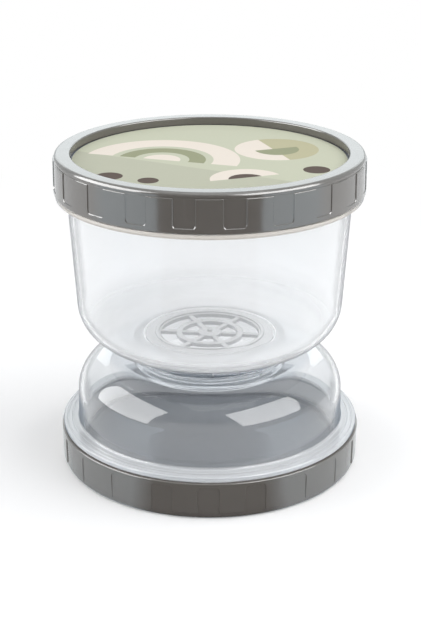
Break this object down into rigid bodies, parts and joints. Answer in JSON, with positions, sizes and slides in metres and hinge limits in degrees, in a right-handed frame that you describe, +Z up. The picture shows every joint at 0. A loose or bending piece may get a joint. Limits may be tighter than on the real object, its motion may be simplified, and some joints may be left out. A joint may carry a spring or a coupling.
{
  "type": "flip pickle keeper",
  "caption": "Hourglass food keeper: deep and shallow clear containers joined at a strainer waist, with a recessed screw lid on each mouth.",
  "frame": {"origin": "centre of the base, on the rim face of the lower lid that the keeper stands on", "axes": "+Z up the common axis of both containers, from the lower lid to the upper lid"},
  "size_m": [0.124, 0.124, 0.1308],
  "materials": {
    "lid_plastic": "injection moulded, satin gloss grey",
    "disc_plastic": "injection moulded, smooth grey",
    "clear_plastic": "injection moulded, clear and polished",
    "silicone": "moulded silicone, translucent white",
    "printed_film": "printed film, soft gloss"
  },
  "bodies": {
    "lower_lid": {"lower_lid_ring": "lid_plastic"},
    "lower_seal": {"lower_lid_disc": "disc_plastic", "lower_lid_gasket": "silicone"},
    "lower_cup": {"lower_container": "clear_plastic"},
    "neck_seal": {"neck_gasket": "silicone"},
    "upper_cup": {"upper_container": "clear_plastic"},
    "strainer_wheel": {"strainer": "clear_plastic"},
    "upper_seal": {"upper_lid_gasket": "silicone", "upper_lid_disc": "disc_plastic", "upper_lid_label": "printed_film"},
    "upper_lid": {"upper_lid_ring": "lid_plastic"}
  },
  "joints": [
    {"name": "lower_lid_turn", "type": "hinge", "parent": "lower_lid", "child": "lower_seal", "pos_m": [0, 0, 0.0068], "axis": [0, 0, 1], "range_deg": [0, 360]},
    {"name": "lower_lid_lift", "type": "slide", "parent": "lower_seal", "child": "lower_cup", "axis": [0, 0, 1], "range_m": [0, 0.016]},
    {"name": "neck_lift", "type": "slide", "parent": "lower_cup", "child": "neck_seal", "axis": [0, 0, 1], "range_m": [0, 0.012]},
    {"name": "neck_turn", "type": "hinge", "parent": "neck_seal", "child": "upper_cup", "pos_m": [0, 0, 0.0492], "axis": [0, 0, 1], "range_deg": [0, 360]},
    {"name": "strainer_lift", "type": "slide", "parent": "upper_cup", "child": "strainer_wheel", "axis": [0, 0, 1], "range_m": [0, 0.06]},
    {"name": "upper_lid_lift", "type": "slide", "parent": "upper_cup", "child": "upper_seal", "axis": [0, 0, 1], "range_m": [0, 0.016]},
    {"name": "upper_lid_turn", "type": "hinge", "parent": "upper_seal", "child": "upper_lid", "pos_m": [0, 0, 0.124], "axis": [0, 0, 1], "range_deg": [0, 360]}
  ],
  "couplings": [
    {"joint": "lower_lid_lift", "follows": "lower_lid_turn", "m_per_rad": 0.002546},
    {"joint": "neck_lift", "follows": "neck_turn", "m_per_rad": 0.0019095},
    {"joint": "upper_lid_lift", "follows": "upper_lid_turn", "m_per_rad": 0.002546}
  ]
}
